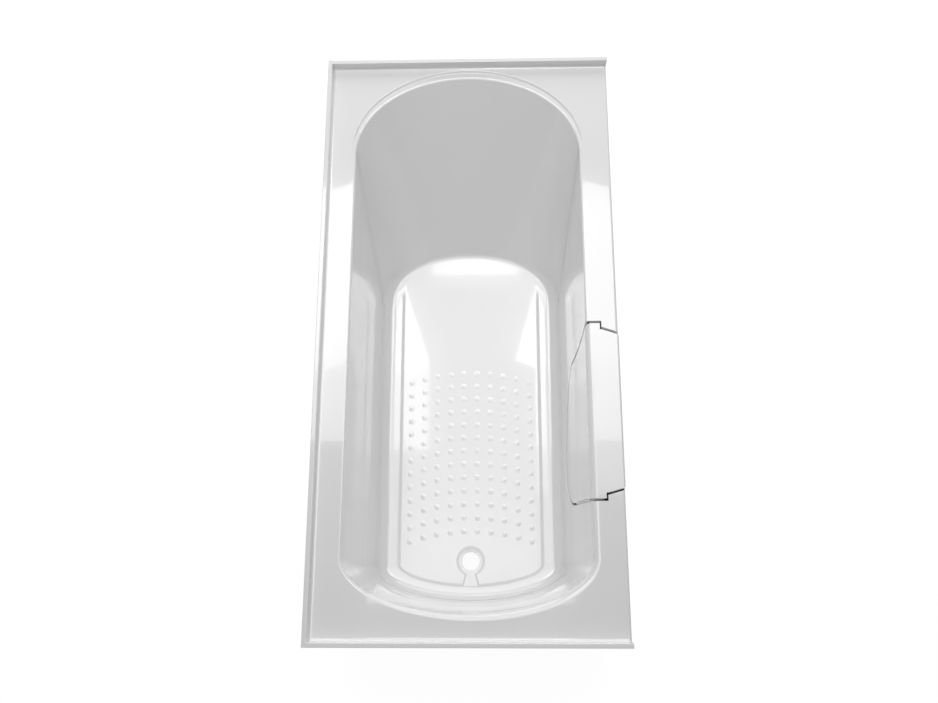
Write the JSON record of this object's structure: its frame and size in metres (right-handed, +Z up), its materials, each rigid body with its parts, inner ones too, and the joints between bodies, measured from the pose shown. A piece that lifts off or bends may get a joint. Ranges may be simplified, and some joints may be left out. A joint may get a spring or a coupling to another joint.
{
  "type": "bathtub",
  "caption": "White rectangular alcove bathtub with a swinging entry door in the front wall, a reclined head end, a wall flange, a skirt and a footed frame.",
  "frame": {"origin": "centre of the whole part's box, on the ground", "axes": "+X towards the reclined head end, -Y out through the front with the door, +Z up"},
  "size_m": [1.524, 0.777, 0.533],
  "materials": {
    "acrylic": "gloss",
    "frame_steel": "satin",
    "bright_metal": "gloss",
    "rubber": "matte",
    "board": "matte"
  },
  "bodies": {
    "tub": {"tub_shell": "acrylic", "base_board": "board", "front_apron": "acrylic", "apron_brackets": "frame_steel", "apron_screws": "bright_metal", "door_frame": "acrylic", "door_seal": "rubber", "hinge_frame_leaf": "bright_metal", "hinge_pin": "bright_metal", "strike_plate": "bright_metal", "rail_front": "frame_steel", "rail_back": "frame_steel", "cross_member_1": "frame_steel", "cross_member_2": "frame_steel", "cross_member_3": "frame_steel", "cross_member_4": "frame_steel", "cross_member_5": "frame_steel", "corner_post_1": "frame_steel", "corner_post_2": "frame_steel", "corner_post_3": "frame_steel", "corner_post_4": "frame_steel", "door_post_hinge": "frame_steel", "door_post_latch": "frame_steel", "sill_post": "frame_steel", "top_rail_back": "frame_steel", "top_rail_head": "frame_steel", "top_rail_foot": "frame_steel", "top_rail_front_foot": "frame_steel", "top_rail_front_head": "frame_steel", "foot_nuts": "frame_steel"},
    "door": {"door_panel": "acrylic", "door_front": "acrylic", "hinge_door_leaf": "bright_metal", "latch_base": "bright_metal", "latch_pivot": "bright_metal"},
    "latch": {"latch_lever": "bright_metal"},
    "foot_1": {"foot_stem_1": "frame_steel", "foot_pad_1": "rubber"},
    "foot_2": {"foot_stem_2": "frame_steel", "foot_pad_2": "rubber"},
    "foot_3": {"foot_stem_3": "frame_steel", "foot_pad_3": "rubber"},
    "foot_4": {"foot_stem_4": "frame_steel", "foot_pad_4": "rubber"},
    "foot_5": {"foot_stem_5": "frame_steel", "foot_pad_5": "rubber"},
    "foot_6": {"foot_stem_6": "frame_steel", "foot_pad_6": "rubber"}
  },
  "joints": [
    {"name": "door_hinge", "type": "hinge", "parent": "tub", "child": "door", "pos_m": [-0.426, -0.2771, 0.334], "axis": [0, -0.0995, 0.995], "range_deg": [0, 100]},
    {"name": "latch_turn", "type": "hinge", "parent": "door", "child": "latch", "pos_m": [-0.108, -0.3765, 0.358], "axis": [0, 1, 0], "range_deg": [0, 90]},
    {"name": "foot_1_level", "type": "slide", "parent": "tub", "child": "foot_1", "axis": [0, 0, 1], "range_m": [-0.01, 0.012]},
    {"name": "foot_2_level", "type": "slide", "parent": "tub", "child": "foot_2", "axis": [0, 0, 1], "range_m": [-0.01, 0.012]},
    {"name": "foot_3_level", "type": "slide", "parent": "tub", "child": "foot_3", "axis": [0, 0, 1], "range_m": [-0.01, 0.012]},
    {"name": "foot_4_level", "type": "slide", "parent": "tub", "child": "foot_4", "axis": [0, 0, 1], "range_m": [-0.01, 0.012]},
    {"name": "foot_5_level", "type": "slide", "parent": "tub", "child": "foot_5", "axis": [0, 0, 1], "range_m": [-0.01, 0.012]},
    {"name": "foot_6_level", "type": "slide", "parent": "tub", "child": "foot_6", "axis": [0, 0, 1], "range_m": [-0.01, 0.012]}
  ]
}
